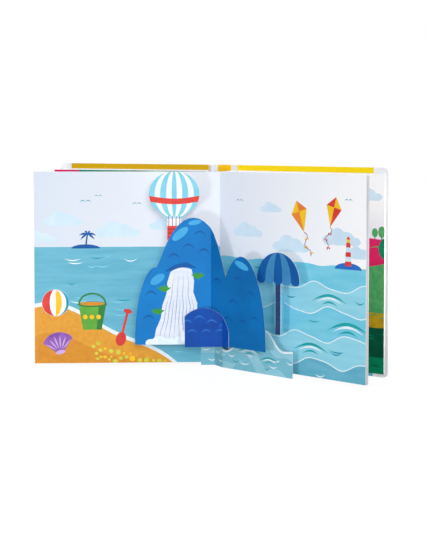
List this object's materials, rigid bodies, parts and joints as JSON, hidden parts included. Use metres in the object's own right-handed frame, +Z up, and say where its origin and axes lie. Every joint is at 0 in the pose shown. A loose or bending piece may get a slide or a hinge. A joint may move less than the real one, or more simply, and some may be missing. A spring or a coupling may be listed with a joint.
{
  "type": "childrens pop-up book",
  "caption": "Hardcover children's pop-up book standing open at a spread with a floating folded-card scene and hinged covers.",
  "frame": {"origin": "middle of the spine's lower end, on the surface that the book stands on", "axes": "+Z up along the spine and the page edges, -Y towards the reader of the open spread, +X to the reader's right"},
  "size_m": [0.4332, 0.321, 0.251],
  "materials": {
    "yellow_wrap": "glossy coated print",
    "grey_board": "bare greyboard",
    "printed_card": "satin coated print",
    "blue_card": "satin coated print",
    "dark_blue_card": "satin coated print",
    "cyan_card": "satin coated print",
    "teal_card": "satin coated print",
    "red_card": "satin coated print",
    "white_strut_card": "bare white card"
  },
  "bodies": {
    "book_block": {"spine_wrap": "yellow_wrap", "spine_board": "grey_board", "card_1": "printed_card", "card_2": "printed_card", "card_3": "printed_card", "card_4": "printed_card", "card_5": "printed_card", "popup_hill": "blue_card", "popup_balloon": "cyan_card", "popup_boulder": "dark_blue_card", "popup_parasol": "dark_blue_card", "popup_wave_strip": "teal_card", "spread_2_tent": "red_card", "hill_left_strut": "white_strut_card", "hill_right_strut": "white_strut_card", "boulder_strut": "white_strut_card", "parasol_strut": "white_strut_card", "wave_strip_strut": "white_strut_card"},
    "front_cover": {"front_wrap": "yellow_wrap", "front_board": "grey_board", "front_pastedown": "printed_card"},
    "back_cover": {"back_wrap": "yellow_wrap", "back_board": "grey_board", "back_pastedown": "printed_card"}
  },
  "joints": [
    {"name": "front_cover_hinge", "type": "hinge", "parent": "book_block", "child": "front_cover", "pos_m": [-0.018, 0.00942, 0], "axis": [0, 0, -1], "range_deg": [-12, 80]},
    {"name": "back_cover_hinge", "type": "hinge", "parent": "book_block", "child": "back_cover", "pos_m": [0.0185, -0.00799, 0], "axis": [0, 0, 1], "range_deg": [-15, 90]}
  ]
}
